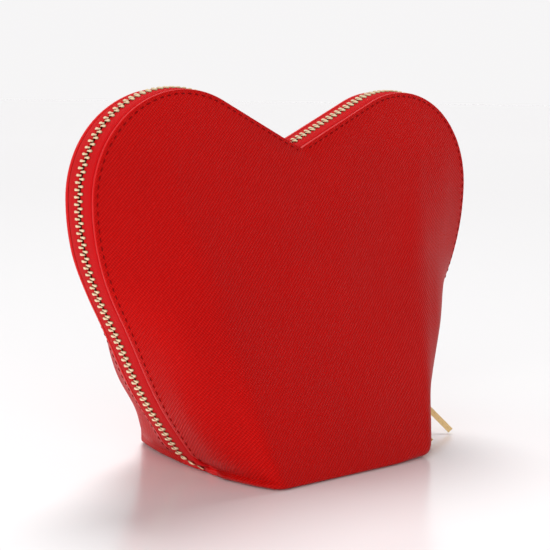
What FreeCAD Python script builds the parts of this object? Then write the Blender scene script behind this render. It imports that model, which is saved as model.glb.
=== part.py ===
import FreeCAD, Part
import math
import os
import Sketcher

# A heart shaped leather purse that stands on a boxed base and opens with a two-way zip.
# Millimetres. The origin is the middle of the base on the floor, +Z is up and the front faces -Y.
# The zip line is a heart in the plane y = 0: each half runs from its tail at the base, up a straight
# stretch and a side arc, round the lobe and down to the cleft.

SIZES = {
    "half_width": (105.0, "half the heart's width on the zip line"),
    "widest_height": (114.6, "height of the widest place"),
    "lobe_radius": (44.7, "radius of each lobe"),
    "cleft_height": (135.3, "height of the cleft"),
    "side_radius": (89.0, "radius of the side below the widest place"),
    "side_slope": (59.5, "slope of the straight stretch, degrees from the floor"),
    "foot_height": (10.0, "height where the straight stretch begins"),
    "tail_radius": (20.0, "radius of the zip's tail towards the base"),
    "tail_turn": (48.0, "turn of the tail, degrees"),
    "base_step": (2.2, "how far the base's front corners lie inside the zip's tail ends"),
    "base_half_depth": (49.8, "half the base's depth"),
    "top_half_depth": (10.2, "half the depth where the panels turn upright at the cleft"),
    "upright_bend": (3.0, "softness of the bend where the panels turn upright"),
    "rim_half_depth": (9.6, "half the depth at the sides' rim"),
    "ridge_spread": (0.21, "how far a corner ridge moves out per millimetre of height"),
    "ridge_radius": (4.5, "radius of the corner ridge at the base"),
    "soft_radius": (40.0, "radius of the corner where the ridge has faded"),
    "soft_height": (70.0, "height where the ridge has faded"),
    "side_bulge": (6.0, "largest bulge of a side between its ridge and its rim"),
    "bulge_height": (50.0, "height of the largest bulge"),
    "bulge_fade": (95.0, "height where the bulge has faded"),
    "fold_radius": (5.0, "radius of the fold round the base"),
    "leather_wall": (1.3, "thickness of the leather"),
    "layer_gap": (0.2, "clearance between two layers of a panel"),
    "stiffener_wall": (0.9, "thickness of the card behind the leather"),
    "stiffener_margin": (5.0, "distance of the card's edge from the zip line"),
    "stiffener_foot": (20.0, "height of the card's lower edge"),
    "lining_wall": (0.5, "thickness of the lining"),
    "board_wall": (1.6, "thickness of the base board"),
    "board_margin": (7.0, "distance of the base board from the base's edges"),
    "board_corner": (4.0, "radius of the base board's corners"),
    "seam_gap": (0.1, "distance of each half from the middle seam under the base"),
    "closed_height": (2.4, "height up to which the leather closes under the zip's tail"),
    "lip_inset": (1.4, "how far the leather's edge lies inside the zip line"),
    "lip_reach": (8.2, "distance of the lip's edge from the zip's middle"),
    "lining_reach": (6.4, "distance of the lining's edge from the zip's middle"),
    "sewn_gap": (0.1, "clearance between the tape and the layers that hold it"),
    "tape_wall": (0.6, "thickness of the zip tape"),
    "tape_reach": (12.4, "distance of the tape's sewn edge from the zip's middle"),
    "tape_edge": (1.4, "distance of the tape's beaded edge from the zip's middle"),
    "tape_step": (7.55, "distance from the zip's middle where the tape goes down under the lip"),
    "tape_start": (5.0, "length of the tail without tape"),
    "tooth_pitch": (2.8, "distance from tooth to tooth along one row"),
    "tooth_wall": (1.15, "thickness of a tooth along the zip"),
    "tooth_height": (2.5, "height of a tooth through the tape"),
    "tooth_nose": (0.6, "how far a tooth reaches past the zip's middle"),
    "tooth_crotch": (1.2, "distance of a tooth's crotch from the zip's middle"),
    "tooth_leg": (2.9, "distance of a tooth's leg ends from the zip's middle"),
    "tooth_bite": (0.1, "clearance between a tooth's legs and the tape"),
    "tooth_sink": (0.15, "how far the teeth's tops lie inside the zip line"),
    "tooth_start": (5.6, "length of the tail without teeth"),
    "cleft_clear": (2.4, "length at the cleft without teeth"),
    "run_part": (1.3, "how far each row stands back where the sliders run"),
    "run_margin": (1.2, "gap between the sliders' run and the tape above it"),
    "stop_start": (2.3, "length of the tail below the end stop"),
    "stop_length": (2.0, "length of an end stop along the zip"),
    "stop_half_width": (2.2, "half the width of an end stop"),
    "slider_length": (11.0, "length of a slider"),
    "slider_plate": (1.0, "thickness of a slider's plates"),
    "slider_play": (0.2, "clearance between the teeth and a slider's plates"),
    "slider_clear": (0.45, "clearance between a slider's inner plate and the lining"),
    "flange_play": (0.15, "clearance between the teeth and a slider's flanges"),
    "flange_wall": (0.65, "thickness of a slider's flanges"),
    "flange_slot": (1.0, "height of the slot that the tape passes through"),
    "post_length": (4.0, "length of the post between a slider's plates"),
    "post_width": (1.2, "width of the post"),
    "bail_rise": (2.8, "height of the bail's bar above the slider"),
    "bail_half_span": (3.0, "half the distance between the bail's legs"),
    "bail_bend": (1.2, "radius of the bail's bends"),
    "bail_wire": (0.6, "radius of the bail's wire"),
    "link_wire": (1.0, "side of the pull link's wire"),
    "link_play": (0.2, "clearance between the bail's bar and the link"),
    "link_span": (3.6, "distance between the middles of the link's two bends"),
    "pull_wall": (1.2, "thickness of a pull"),
    "pull_width": (2.6, "width of a pull"),
    "pull_length": (31.0, "length of a pull from its eye to its tip"),
    "eye_play": (0.15, "clearance between the link and a pull's eye"),
    "eye_wall": (0.8, "width of the metal round a pull's eye"),
    "park_start": (5.8, "distance of the lower slider above the straight stretch's foot"),
    "park_gap": (0.45, "gap between the two parked sliders"),
    "upper_lift": (42.0, "tilt of the upper link away from the purse, degrees"),
    "lower_lift": (5.0, "tilt of the lower link away from the purse, degrees"),
    "floor_gap": (0.05, "height of the pulls' tips above the floor"),
    "lower_travel": (12.0, "travel of the lower slider, which pushes the upper one ahead of it"),
    "upper_travel": (24.0, "travel of the upper slider away from the lower one"),
}

doc = FreeCAD.newDocument("heart_shaped_purse")
sheet = doc.addObject("Spreadsheet::Sheet", "sizes")


def enter(row, alias, value, meaning):
    sheet.set(f"A{row}", meaning)
    sheet.set(f"B{row}", str(value))
    sheet.setAlias(f"B{row}", alias)


for row, (alias, (value, meaning)) in enumerate(SIZES.items(), start=1):
    enter(row, alias, value, meaning)
doc.recompute()


def size(alias):
    return float(sheet.get(alias))


def radians(alias):
    return math.radians(size(alias))


UP = FreeCAD.Vector(0, 0, 1)
ALONG_X = FreeCAD.Vector(1, 0, 0)
ALONG_Y = FreeCAD.Vector(0, 1, 0)
ORIGIN = FreeCAD.Vector(0, 0, 0)
FAR = 2.0 * (size("half_width") + size("base_half_depth"))

top_height = size("widest_height") + size("lobe_radius")
lobe_centre_x = size("half_width") - size("lobe_radius")
side_centre_x = size("half_width") - size("side_radius")
side_turn = math.pi / 2 - radians("side_slope")
chain_inset = size("tooth_height") / 2 + size("tooth_sink")
floor_height = size("leather_wall") + size("board_wall") + size("sewn_gap")


def cleft_slope():
    """The slope of the straight line from the cleft that touches the lobe."""
    drop = size("widest_height") - size("cleft_height")
    reach = math.hypot(lobe_centre_x, drop)
    return math.atan2(drop, lobe_centre_x) + math.asin(size("lobe_radius") / reach)


def on_circle(centre, radius, angle):
    return (centre[0] + radius * math.cos(angle), centre[1] + radius * math.sin(angle))


lobe_centre = (lobe_centre_x, size("widest_height"))
side_centre = (side_centre_x, size("widest_height"))
side_end = on_circle(side_centre, size("side_radius"), -side_turn)
foot = (side_end[0] - (side_end[1] - size("foot_height")) / math.tan(radians("side_slope")), size("foot_height"))
tail_centre = on_circle(foot, -size("tail_radius"), -side_turn)
tail_angle = -side_turn - radians("tail_turn")
tail_end = on_circle(tail_centre, size("tail_radius"), tail_angle)
straight_length = math.dist(foot, side_end)
base_half_width = tail_end[0] - size("base_step")
enter(len(SIZES) + 1, "base_half_width", base_half_width, "half the base's width along its front edge, from the zip")
doc.recompute()
lobe_sweep = math.pi / 2 + cleft_slope()


def outline_stretches(inset):
    """The right half of the zip line, moved inwards, as arcs (centre, radius, from, to) in order upwards."""
    return {
        "tail": (tail_centre, size("tail_radius") - inset, tail_angle, -side_turn),
        "side": (side_centre, size("side_radius") - inset, -side_turn, 0.0),
        "lobe": (lobe_centre, size("lobe_radius") - inset, 0.0, lobe_sweep),
    }


def cleft_point(inset):
    return (0.0, size("cleft_height") - inset / math.cos(cleft_slope()))


def half_outline_edges(inset, y, mirror):
    """Edges of one half of the zip line at a depth, from below the base up to the cleft."""
    def at(point):
        return FreeCAD.Vector(mirror * point[0], y, point[1])

    edges = []
    first = on_circle(*outline_stretches(inset)["tail"][:3])
    last = (first[0], -size("tail_radius"))
    for centre, radius, start, end in outline_stretches(inset).values():
        begin = on_circle(centre, radius, start)
        middle = on_circle(centre, radius, (start + end) / 2)
        finish = on_circle(centre, radius, end)
        if math.dist(last, begin) > 1e-6:
            edges.append(Part.makeLine(at(last), at(begin)))
        edges.append(Part.Arc(at(begin), at(middle), at(finish)).toShape())
        last = finish
    edges.append(Part.makeLine(at(last), at(cleft_point(inset))))
    return edges


def heart_prism(inset, y_from, y_to):
    """The space inside the zip line, moved inwards, between two depths."""
    right = half_outline_edges(inset, y_from, 1)
    left = half_outline_edges(inset, y_from, -1)
    sill = Part.makeLine(right[0].Vertexes[0].Point, left[0].Vertexes[0].Point)
    wire = Part.Wire(Part.__sortEdges__(right + left + [sill]))
    return Part.Face(wire).extrude(FreeCAD.Vector(0, y_to - y_from, 0))


def half_width_at(z):
    """Half the width of the zip line at a height. Above the widest place it stays at the widest."""
    if z >= size("widest_height"):
        return size("half_width")
    if z >= side_end[1]:
        rise = size("widest_height") - z
        return side_centre_x + math.sqrt(size("side_radius") ** 2 - rise ** 2)
    if z >= foot[1]:
        return foot[0] + (z - foot[1]) / math.tan(radians("side_slope"))
    if z >= tail_end[1]:
        return tail_centre[0] + math.sqrt(size("tail_radius") ** 2 - (tail_centre[1] - z) ** 2)
    return tail_end[0]


def half_depth_at(z):
    """Half the depth along the middle: leaning up to the cleft, then softly turning upright."""
    lean = (size("base_half_depth") - size("top_half_depth")) / size("cleft_height")
    excess = size("base_half_depth") - size("top_half_depth") - lean * z
    return size("top_half_depth") + (excess + math.hypot(excess, size("upright_bend"))) / 2


def ridge_radius_at(z):
    fade = min(1.0, max(0.0, z / size("soft_height")))
    return size("ridge_radius") + (size("soft_radius") - size("ridge_radius")) * fade ** 2


def bulge_at(z):
    """How far a side stands out of the straight line from its ridge to its rim."""
    top, fade = size("bulge_height"), size("bulge_fade")
    flattest = 0.05
    if z < top:
        share = math.sqrt(max(0.0, 1.0 - ((top - z) / top) ** 2))
    else:
        share = math.cos(math.pi / 2 * min(1.0, (z - top) / (fade - top))) ** 2
    return size("side_bulge") * max(flattest, share)


def side_corners(z):
    """The front's right side at a height as corners: the ridge, the swell between and the rim."""
    ridge = (base_half_width + size("ridge_spread") * z, -half_depth_at(z))
    rim = (half_width_at(z), -size("rim_half_depth"))
    run, rise = rim[0] - ridge[0], rim[1] - ridge[1]
    arc_share, steepest = 0.75, 0.35
    out = min(bulge_at(z) / arc_share, steepest * rise) / math.hypot(run, rise)
    swell = ((ridge[0] + rim[0]) / 2 + rise * out, (ridge[1] + rim[1]) / 2 - run * out)
    return ridge, swell, rim


def direction(start, end):
    return math.atan2(end[1] - start[1], end[0] - start[0])


def stepped(point, angle, length):
    return (point[0] + length * math.cos(angle), point[1] + length * math.sin(angle))


def inward(point, angle, other, offset):
    """A corner between two directions, moved inwards by the same offset from both of its lines."""
    middle = (angle + other) / 2
    return stepped(point, middle + math.pi / 2, offset / math.cos((other - angle) / 2))


def rounded(corner, angle, other, radius, room):
    """Start, middle and end of the arc that rounds a corner between two directions."""
    half = (other - angle) / 2
    trim = min(radius * math.tan(half), room)
    begin = stepped(corner, angle, -trim)
    centre = stepped(begin, angle + math.pi / 2, trim / math.tan(half))
    middle = stepped(centre, (angle + other) / 2 - math.pi / 2, trim / math.tan(half))
    return begin, middle, stepped(corner, other, trim)


def section_wire(z, offset):
    """The front half's outline at a height, moved inwards, closed behind the zip's plane."""
    ridge, swell, rim = side_corners(z)
    first, second = direction(ridge, swell), direction(swell, rim)
    ridge = inward(ridge, 0.0, first, offset)
    swell = inward(swell, first, second, offset)
    rim = inward(rim, second, second, offset)
    lower, upper = math.dist(ridge, swell), math.dist(swell, rim)
    most, least = 0.45, 0.15 * size("ridge_radius")
    radius = max(ridge_radius_at(z) - offset, least)
    ridge_arc = rounded(ridge, 0.0, first, radius, most * min(lower, ridge[0]))
    swell_arc = rounded(swell, first, second, FAR ** 2, most * min(lower, upper))
    rim_end = stepped(rim, second, 2 * size("lip_reach"))
    back = (rim_end[0], max(size("lip_reach"), rim_end[1] + 1.0))

    def side(mirror):
        points = ridge_arc + swell_arc + (rim_end, back)
        return [FreeCAD.Vector(mirror * x, y, z) for x, y in points]

    def side_edges(p):
        return [Part.Arc(*p[0:3]).toShape(), Part.makeLine(p[2], p[3]), Part.Arc(*p[3:6]).toShape(),
                Part.makeLine(p[5], p[6]), Part.makeLine(p[6], p[7])]

    right, left = side(1), side(-1)
    edges = [Part.makeLine(left[0], right[0])] + side_edges(right)
    edges += [Part.makeLine(right[7], left[7])] + side_edges(left)
    return Part.Wire(Part.__sortEdges__(edges))


def fold_offset(z, wall):
    """How far the fold round the base draws the leather's face in, at a height."""
    radius = size("fold_radius")
    if z >= radius:
        return wall
    return radius - math.sqrt(max(0.0, (radius - wall) ** 2 - (radius - z) ** 2))


def panel_heights(lowest):
    """Heights of a panel's sections, from its lowest to just above the lobes."""
    steps = 14
    loft_top = top_height + 1.0
    return [lowest + (loft_top - lowest) * k / steps for k in range(steps + 1)]


def leather_form(wall):
    """The solid form inside the leather's outer face (wall 0) or its inner face."""
    radius = size("fold_radius")
    steps = (0.0, 0.3, 0.65)
    folds = [wall + step * (radius - wall) for step in steps]
    heights = folds + panel_heights(radius)
    return Part.makeLoft([section_wire(z, fold_offset(z, wall)) for z in heights], True, True)


def layer_form(offset, lowest):
    """The solid form inside a layer that lies behind the leather by an offset."""
    return Part.makeLoft([section_wire(z, offset) for z in panel_heights(lowest)], True, True)


def block(x, y, z):
    """A box between two limits in each direction."""
    corner = FreeCAD.Vector(x[0], y[0], z[0])
    return Part.makeBox(x[1] - x[0], y[1] - y[0], z[1] - z[0], corner)


def one_solid(shape, name):
    """The single solid that a shape is made of."""
    if len(shape.Solids) != 1:
        raise ValueError(f"{name} came out as {len(shape.Solids)} solids")
    return shape.Solids[0]


channel = size("tooth_height") / 2 + size("slider_play")
lip_outer_inset = size("lip_inset")
lip_inner_inset = lip_outer_inset + size("leather_wall")
tape_outer_inset = chain_inset - size("tape_wall") / 2
tape_inner_inset = chain_inset + size("tape_wall") / 2
sewn_outer_inset = lip_inner_inset + size("sewn_gap")
sewn_inner_inset = sewn_outer_inset + size("tape_wall")
plate_inner_inset = chain_inset + channel + size("slider_plate")
lining_outer_inset = max(sewn_inner_inset + size("sewn_gap"), plate_inner_inset + size("slider_clear"))
lining_inner_inset = lining_outer_inset + size("lining_wall")
stiffener_offset = size("leather_wall") + size("layer_gap")
lining_offset = stiffener_offset + size("stiffener_wall") + size("layer_gap")
prism_front = -2.0 * size("base_half_depth")


def behind(reach, height):
    """The space from a distance in front of the zip's middle to the back, above a height."""
    return block((-FAR, FAR), (-reach, FAR), (height, FAR))


def behind_seam():
    return block((-FAR, FAR), (-size("seam_gap"), FAR), (-FAR, FAR))


def front_panel_shape():
    outer = leather_form(0.0).common(heart_prism(lip_outer_inset, prism_front, FAR))
    inner = leather_form(size("leather_wall")).common(heart_prism(lip_inner_inset, prism_front, FAR))
    shell = outer.cut(inner)
    mouth = behind(size("lip_reach"), size("closed_height"))
    return one_solid(shell.cut([mouth, behind_seam()]), "front_panel")


def front_stiffener_shape():
    foot_block = block((-FAR, FAR), (-FAR, FAR), (-FAR, size("stiffener_foot")))
    outer = layer_form(stiffener_offset, size("fold_radius"))
    inner = layer_form(stiffener_offset + size("stiffener_wall"), size("fold_radius"))
    sheet_form = outer.cut(inner).common(heart_prism(size("stiffener_margin"), prism_front, FAR))
    return one_solid(sheet_form.cut([foot_block, behind(size("lining_reach"), -FAR)]), "front_stiffener")


def front_lining_shape():
    inner_floor = floor_height + size("lining_wall")
    outer = layer_form(lining_offset, floor_height)
    outer = outer.common(heart_prism(lining_outer_inset, prism_front, FAR))
    inner = layer_form(lining_offset + size("lining_wall"), inner_floor)
    inner = inner.common(heart_prism(lining_inner_inset, prism_front, FAR))
    edge = base_half_width
    beside = [block((edge, FAR), (-size("lining_reach"), FAR), (-FAR, FAR)),
              block((-FAR, -edge), (-size("lining_reach"), FAR), (-FAR, FAR))]
    mouth = behind(size("lining_reach"), inner_floor)
    return one_solid(outer.cut(inner).cut([mouth, behind_seam()] + beside), "front_lining")


def chain_place(length):
    """The place on the right half's chain at a length from its tail: x, z and the slope of the zip there."""
    for name, (centre, radius, start, end) in outline_stretches(chain_inset).items():
        arc = radius * (end - start)
        if length <= arc:
            angle = start + length / radius
            x, z = on_circle(centre, radius, angle)
            return x, z, angle + math.pi / 2
        length -= arc
        if name == "tail":
            if length <= straight_length:
                x, z = on_circle(centre, radius, end)
                slope = radians("side_slope")
                return x + length * math.cos(slope), z + length * math.sin(slope), slope
            length -= straight_length
    x, z = on_circle(*outline_stretches(chain_inset)["lobe"][:2], lobe_sweep)
    slope = math.pi + cleft_slope()
    return x + length * math.cos(slope), z + length * math.sin(slope), slope


def half_chain_length():
    arcs = outline_stretches(chain_inset).values()
    bends = sum(radius * (end - start) for _, radius, start, end in arcs)
    touch = on_circle(*outline_stretches(chain_inset)["lobe"][:2], lobe_sweep)
    return bends + straight_length + math.dist(touch, cleft_point(chain_inset))


tail_length = (size("tail_radius") - chain_inset) * radians("tail_turn")
upper_park = size("park_start") + size("slider_length") + size("park_gap")
travel = size("lower_travel") + size("upper_travel")
run_end = tail_length + upper_park + travel + size("slider_length") / 2 + size("run_margin")
run_top = chain_place(run_end)[1]
tape_foot = chain_place(size("tape_start"))[1]


def heart_strip(outer_inset, inner_inset, edge, reach):
    """A strip round the whole heart, between two distances from the zip's middle."""
    outer = heart_prism(outer_inset, -reach, -edge)
    inner = heart_prism(inner_inset, -reach, -edge)
    below = block((-FAR, FAR), (-FAR, FAR), (-FAR, tape_foot))
    return outer.cut([inner, below])


def tape_band(edge):
    """The front tape round the whole heart: it carries the teeth, then steps down under the leather's lip."""
    step, lip = size("tape_step"), size("lip_reach") - size("sewn_gap")
    carrier = heart_strip(tape_outer_inset, tape_inner_inset, edge, lip)
    riser = heart_strip(tape_outer_inset, sewn_inner_inset, step, lip)
    sewn = heart_strip(sewn_outer_inset, sewn_inner_inset, step, size("tape_reach"))
    return carrier.fuse([riser, sewn]).common(within_leather())


def within_leather():
    return leather_form(size("leather_wall") + size("sewn_gap"))


def run_block(margin, y):
    """The space round the stretch that the sliders run on, with its top moved up by a margin."""
    return block((0, FAR), y, (-FAR, run_top + margin))


def front_tape_shape():
    band = tape_band(size("tape_edge"))
    return one_solid(band.cut(run_block(size("run_margin"), (-FAR, FAR))), "front_zip_tape")


def front_tape_run_shape():
    reach = size("lip_reach") - size("sewn_gap")
    band = heart_strip(tape_outer_inset, tape_inner_inset, size("tape_edge") + size("run_part"), reach)
    return one_solid(band.common(run_block(0.0, (-FAR, FAR))), "front_tape_run")


def back_tape_shape():
    band = tape_band(size("tape_edge"))
    parted = (-size("tape_edge") - size("run_part"), FAR)
    return one_solid(band.cut(run_block(0.0, parted)), "back_zip_tape").mirror(ORIGIN, ALONG_Y)


def tooth_shape(row):
    """One tooth at the origin: its nose crosses the zip's middle and its legs hold the tape of its row."""
    half = size("tooth_height") / 2
    slot = size("tape_wall") / 2 + size("tooth_bite")
    nose, crotch, leg = -size("tooth_nose"), size("tooth_crotch"), size("tooth_leg")
    profile = [(nose, half), (leg, half), (leg, slot), (crotch, slot)]
    profile += [(y, -z) for y, z in reversed(profile)]
    points = [FreeCAD.Vector(-size("tooth_wall") / 2, row * y, z) for y, z in profile]
    face = Part.Face(Part.makePolygon(points + points[:1]))
    return face.extrude(FreeCAD.Vector(size("tooth_wall"), 0, 0))


def along_zip(x, y, z, slope, mirror):
    """Places a piece on the zip: its X runs down along it on the right half, and its Z points outwards."""
    turn = math.degrees(math.pi - slope)
    return FreeCAD.Placement(FreeCAD.Vector(mirror * x, y, z), FreeCAD.Rotation(ALONG_Y, mirror * turn))


def row_lengths(row):
    """Lengths from the tail of one half's teeth. The back row stands half a pitch further on."""
    first = size("tooth_start") + (0.5 * size("tooth_pitch") if row > 0 else 0.0)
    last = half_chain_length() - size("cleft_clear")
    return [first + k * size("tooth_pitch") for k in range(int((last - first) / size("tooth_pitch")) + 1)]


def in_run(length):
    return length < run_end


def teeth_shape(row, wanted):
    """A row's teeth, -1 in front and 1 behind. wanted picks them by half (-1 left, 1 right) and length."""
    tooth = tooth_shape(row)
    teeth = []
    for mirror in (1, -1):
        for length in row_lengths(row):
            if not wanted(mirror, length):
                continue
            parted = row * size("run_part") if mirror > 0 and in_run(length) else 0.0
            x, z, slope = chain_place(length)
            copy = tooth.copy()
            copy.Placement = along_zip(x, parted, z, slope, mirror)
            teeth.append(copy)
    return Part.makeCompound(teeth)


def front_teeth_shape():
    clear = run_end + size("run_margin")
    return teeth_shape(-1, lambda mirror, length: mirror < 0 or length > clear)


def front_teeth_run_shape():
    return teeth_shape(-1, lambda mirror, length: mirror > 0 and in_run(length))


def back_teeth_shape():
    return teeth_shape(1, lambda mirror, length: True)


nodes = []


def add_node(feature, label):
    feature.Label = label
    nodes.append(feature)
    return feature


def add_shape(label, shape):
    """A piece whose form is its own shape, with sizes read from the sheet."""
    feature = doc.addObject("Part::Feature", label)
    feature.Shape = shape
    return add_node(feature, label)


def add_mirrored(source, label):
    """The back's copy of a front piece."""
    feature = doc.addObject("Part::Mirroring", label)
    feature.Source = source
    feature.Base = ORIGIN
    feature.Normal = ALONG_Y
    return add_node(feature, label)


def bound(kind, name, **expressions):
    """An object of a kind whose properties follow the sheet. Two underscores stand for a dot."""
    feature = doc.addObject(kind, name)
    for key, expression in expressions.items():
        feature.setExpression(key.replace("__", "."), expression)
    return feature


def bound_box(name, x, y, z):
    """A box bound to the sheet: each direction gives where it starts and how far it goes."""
    return bound("Part::Box", name, Length=x[1], Width=y[1], Height=z[1],
                 Placement__Base__x=x[0], Placement__Base__y=y[0], Placement__Base__z=z[0])


def bound_cylinder(name, radius, height, y, z_start):
    """A cylinder along Z, bound to the sheet."""
    return bound("Part::Cylinder", name, Radius=radius, Height=height,
                 Placement__Base__y=y, Placement__Base__z=z_start)


def fused(name, pieces):
    feature = doc.addObject("Part::MultiFuse", name)
    feature.Shapes = pieces
    feature.Refine = True
    return feature


def cut(name, base, tool):
    feature = doc.addObject("Part::Cut", name)
    feature.Base = base
    feature.Tool = tool
    return feature


def add_front_board():
    """The front half's base board: a plate with rounded corners on the leather."""
    body = doc.addObject("PartDesign::Body", "front_base_board")
    sketch = body.newObject("Sketcher::SketchObject", "board_outline")
    plane = next(item for item in body.Origin.OriginFeatures if item.Role == "XY_Plane")
    sketch.AttachmentSupport = [(plane, "")]
    sketch.MapMode = "FlatFace"
    x = base_half_width - size("board_margin")
    front = size("board_margin") - size("base_half_depth")
    rear = -size("board_corner")
    corners = [(-x, front), (x, front), (x, rear), (-x, rear)]
    points = [FreeCAD.Vector(px, py, 0) for px, py in corners]
    for k in range(4):
        sketch.addGeometry(Part.LineSegment(points[k], points[(k + 1) % 4]), False)
    for k in range(4):
        sketch.addConstraint(Sketcher.Constraint("Coincident", k, 2, (k + 1) % 4, 1))
    for k in (0, 2):
        sketch.addConstraint(Sketcher.Constraint("Horizontal", k))
    for k in (1, 3):
        sketch.addConstraint(Sketcher.Constraint("Vertical", k))
    drives = [
        (("DistanceX", 0, 1, 0, 2, 2 * x), "width", "2 * (sizes.base_half_width - sizes.board_margin)"),
        (("DistanceX", 0, 1, -1, 1, x), "middle", "sizes.base_half_width - sizes.board_margin"),
        (("DistanceY", 0, 1, -1, 1, -front), "front", "sizes.base_half_depth - sizes.board_margin"),
        (("DistanceY", 2, 1, -1, 1, -rear), "rear", "sizes.layer_gap"),
    ]
    for arguments, name, expression in drives:
        index = sketch.addConstraint(Sketcher.Constraint(*arguments))
        sketch.renameConstraint(index, name)
        sketch.setExpression(f"Constraints.{name}", expression)
    pad = body.newObject("PartDesign::Pad", "board_pad")
    pad.Profile = sketch
    pad.setExpression("Length", "sizes.board_wall")
    doc.recompute()
    fillet = body.newObject("PartDesign::Fillet", "board_corners")
    upright = [f"Edge{k}" for k, edge in enumerate(pad.Shape.Edges, start=1)
               if abs(edge.Vertexes[0].Z - edge.Vertexes[-1].Z) > 1e-6]
    fillet.Base = (pad, upright)
    fillet.setExpression("Radius", "sizes.board_corner")
    body.setExpression("Placement.Base.z", "sizes.leather_wall")
    return add_node(body, "front_base_board")


def add_end_stop(label, mirror):
    """A stop pressed over the tape ends at the zip's tail."""
    stop = bound("Part::Box", label, Length="sizes.stop_length", Width="2 * sizes.stop_half_width",
                 Height="sizes.tooth_height")
    x, z, slope = chain_place(size("stop_start") + size("stop_length") / 2)
    middle = FreeCAD.Vector(size("stop_length") / 2, size("stop_half_width"), size("tooth_height") / 2)
    stop.Placement = along_zip(x, 0.0, z, slope, mirror).multiply(FreeCAD.Placement(-middle, FreeCAD.Rotation()))
    return add_node(stop, label)


CHANNEL = "(sizes.tooth_height / 2 + sizes.slider_play)"
INNER_HALF = "(sizes.tooth_leg + sizes.run_part + sizes.flange_play)"
OUTER_HALF = f"({INNER_HALF} + sizes.flange_wall)"
bar_height = channel + size("slider_plate") + size("bail_rise")


def add_slider_body(which, place):
    """Two plates joined by a post, with flanges that hold the rows of teeth in."""
    along = ("-sizes.slider_length / 2", "sizes.slider_length")
    across = (f"-{OUTER_HALF}", f"2 * {OUTER_HALF}")
    flange_sides = {"front": f"-{OUTER_HALF}", "back": INNER_HALF}
    flange_rise = f"{CHANNEL} - sizes.flange_slot / 2"
    flange_levels = {"over": "sizes.flange_slot / 2", "under": f"-{CHANNEL}"}
    pieces = [
        bound_box(f"{which}_top_plate", along, across, (CHANNEL, "sizes.slider_plate")),
        bound_box(f"{which}_bottom_plate", along, across, (f"-{CHANNEL} - sizes.slider_plate", "sizes.slider_plate")),
        bound_box(f"{which}_post", ("0", "sizes.post_length"), ("-sizes.post_width / 2", "sizes.post_width"),
                  (f"-{CHANNEL}", f"2 * {CHANNEL}")),
    ]
    for side, start in flange_sides.items():
        for level, base in flange_levels.items():
            pieces.append(bound_box(f"{which}_flange_{side}_{level}", along, (start, "sizes.flange_wall"),
                                    (base, flange_rise)))
    slider = fused(f"{which}_slider_body", pieces)
    slider.Placement = place
    return add_node(slider, f"{which}_slider_body")


def bail_shape():
    """A round wire arch along the slider, standing on its top plate."""
    foot_z = channel + size("slider_plate")
    span, bend = size("bail_half_span"), size("bail_bend")
    knee = bar_height - bend

    def at(x, z):
        return FreeCAD.Vector(x, 0, z)

    def bend_arc(mirror):
        centre = (span - bend, knee)
        middle = on_circle(centre, bend, math.pi / 4)
        return Part.Arc(at(mirror * span, knee), at(mirror * middle[0], middle[1]), at(mirror * centre[0], bar_height))

    path = [Part.makeLine(at(-span, foot_z), at(-span, knee)), bend_arc(-1).toShape(),
            Part.makeLine(at(bend - span, bar_height), at(span - bend, bar_height)), bend_arc(1).toShape(),
            Part.makeLine(at(span, knee), at(span, foot_z))]
    ring = Part.Wire(Part.makeCircle(size("bail_wire"), at(-span, foot_z), UP))
    return Part.Wire(Part.__sortEdges__(path)).makePipeShell([ring], True, False)


def add_bail(which, place):
    bail = add_shape(f"{which}_slider_bail", bail_shape())
    bail.Placement = place
    return bail


LINK_INNER = "(sizes.bail_wire + sizes.link_play)"
LINK_OUTER = f"({LINK_INNER} + sizes.link_wire)"


def stadium(name, radius, depth):
    """A plate with round ends about the bar and the link's far bend, thick along Z."""
    start = f"-({depth}) / 2"
    return fused(name, [
        bound_cylinder(f"{name}_near", radius, depth, "0", start),
        bound_cylinder(f"{name}_far", radius, depth, "-sizes.link_span", start),
        bound_box(f"{name}_middle", (f"-{radius}", f"2 * {radius}"), ("-sizes.link_span", "sizes.link_span"),
                  (start, depth)),
    ])


def add_link(which, place):
    """A flat ring of square wire that hangs on the bail's bar."""
    ring = stadium(f"{which}_link_plate", LINK_OUTER, "sizes.link_wire")
    window = stadium(f"{which}_link_window", LINK_INNER, "2 * sizes.link_wire")
    link = cut(f"{which}_pull_link", ring, window)
    link.Placement = place.multiply(FreeCAD.Placement(ORIGIN, FreeCAD.Rotation(ALONG_Y, 90)))
    return add_node(link, f"{which}_pull_link")


link_inner = size("bail_wire") + size("link_play")
link_outer = link_inner + size("link_wire")


def eye_limits():
    """How near to and far from the link's far bend its wire reaches inside the pull's thickness."""
    half = size("pull_wall") / 2
    return math.sqrt(max(0.0, link_inner ** 2 - half ** 2)), link_outer


eye_near, eye_far = eye_limits()
eye_offset = size("link_span") + (eye_near + eye_far) / 2
eye_radius = math.hypot((eye_far - eye_near) / 2, size("link_wire") / 2) + size("eye_play")


def add_pull(which, place):
    """A slim flat bar with a round eye at its upper end."""
    plate = Part.makeBox(size("pull_width"), size("pull_length"), size("pull_wall"),
                         FreeCAD.Vector(-size("pull_width") / 2, -size("pull_length"), -size("pull_wall") / 2))
    low = FreeCAD.Vector(0, 0, -size("pull_wall") / 2)
    head = Part.makeCylinder(eye_radius + size("eye_wall"), size("pull_wall"), low)
    eye = Part.makeCylinder(eye_radius, 3 * size("pull_wall"), 3 * low)
    pull = add_shape(f"{which}_pull_bar", plate.fuse(head).removeSplitter().cut(eye))
    pull.Placement = place
    return pull


def link_place(slider_place, lift):
    """The link's place: on the bail's bar, lying to the front and lifted away from the purse."""
    return slider_place.multiply(FreeCAD.Placement(FreeCAD.Vector(0, 0, bar_height), FreeCAD.Rotation(ALONG_X, -lift)))


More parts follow.
